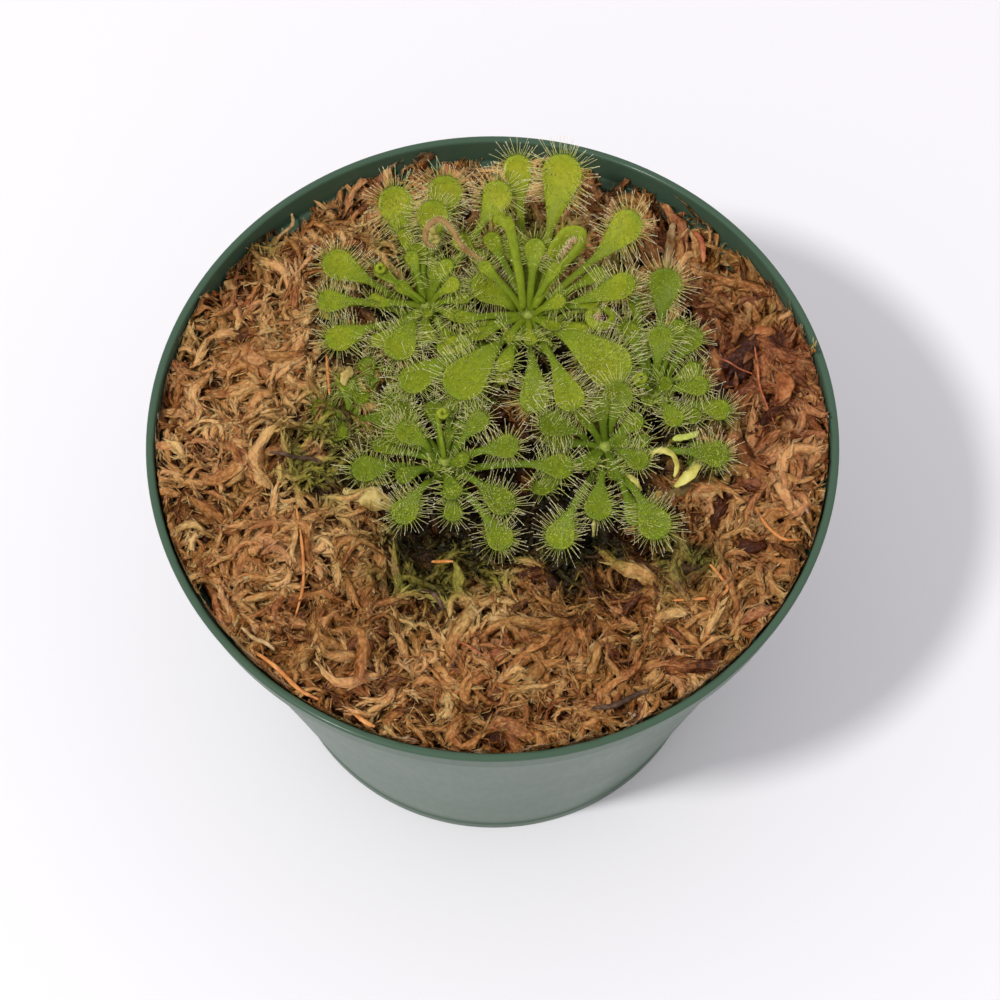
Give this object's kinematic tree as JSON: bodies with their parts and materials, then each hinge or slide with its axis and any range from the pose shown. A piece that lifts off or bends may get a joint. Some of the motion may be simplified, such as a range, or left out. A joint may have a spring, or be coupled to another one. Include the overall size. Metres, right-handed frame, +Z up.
{
  "type": "potted sundew",
  "caption": "Clump of spoon-leaved sundew rosettes with sticky leaf tentacles, growing in long-fibre moss in a round tapered plastic nursery pot.",
  "frame": {"origin": "on the ground, at the middle of the pot's foot ring", "axes": "+Z up, -Y towards the front, +X to the right seen from the front"},
  "size_m": [0.104, 0.104, 0.0947],
  "materials": {
    "pot_plastic": "satin",
    "moss_fibre": "matte",
    "stem_skin": "satin",
    "leaf_skin": "satin",
    "scape_skin": "satin",
    "dead_leaf_skin": "matte",
    "dead_leaf_brown_skin": "matte",
    "needle_bark": "satin"
  },
  "bodies": {
    "root": {"crown_back": "stem_skin", "crown_front_left": "stem_skin", "crown_front_right": "stem_skin", "crown_left": "stem_skin", "crown_right": "stem_skin", "dead_leaf_brown": "dead_leaf_brown_skin", "dead_leaf_cream": "dead_leaf_skin", "dead_leaf_yellow": "dead_leaf_skin", "flower_scape": "scape_skin", "leaf_back_01": "leaf_skin", "leaf_back_02": "leaf_skin", "leaf_back_03": "leaf_skin", "leaf_back_04": "leaf_skin", "leaf_back_05": "leaf_skin", "leaf_back_06": "leaf_skin", "leaf_back_07": "leaf_skin", "leaf_back_08": "leaf_skin", "leaf_back_09": "leaf_skin", "leaf_back_10": "leaf_skin", "leaf_front_left_01": "leaf_skin", "leaf_front_left_02": "leaf_skin", "leaf_front_left_03": "leaf_skin", "leaf_front_left_04": "leaf_skin", "leaf_front_left_05": "leaf_skin", "leaf_front_left_06": "leaf_skin", "leaf_front_left_07": "leaf_skin", "leaf_front_left_08": "leaf_skin", "leaf_front_left_09": "leaf_skin", "leaf_front_left_10": "leaf_skin", "leaf_front_right_01": "leaf_skin", "leaf_front_right_02": "leaf_skin", "leaf_front_right_03": "leaf_skin", "leaf_front_right_04": "leaf_skin", "leaf_front_right_05": "leaf_skin", "leaf_front_right_06": "leaf_skin", "leaf_front_right_07": "leaf_skin", "leaf_left_01": "leaf_skin", "leaf_left_02": "leaf_skin", "leaf_left_03": "leaf_skin", "leaf_left_04": "leaf_skin", "leaf_left_05": "leaf_skin", "leaf_left_06": "leaf_skin", "leaf_left_07": "leaf_skin", "leaf_left_08": "leaf_skin", "leaf_left_09": "leaf_skin", "leaf_right_01": "leaf_skin", "leaf_right_02": "leaf_skin", "leaf_right_03": "leaf_skin", "leaf_right_04": "leaf_skin", "leaf_right_05": "leaf_skin", "leaf_right_06": "leaf_skin", "leaf_right_07": "leaf_skin", "leaf_unrolling_coiled": "leaf_skin", "leaf_unrolling_pink": "leaf_skin", "leaf_unrolling_tall": "leaf_skin", "moss_bed": "moss_fibre", "needle_front": "needle_bark", "needle_left": "needle_bark", "needle_right": "needle_bark", "pot": "pot_plastic"}
  },
  "joints": []
}
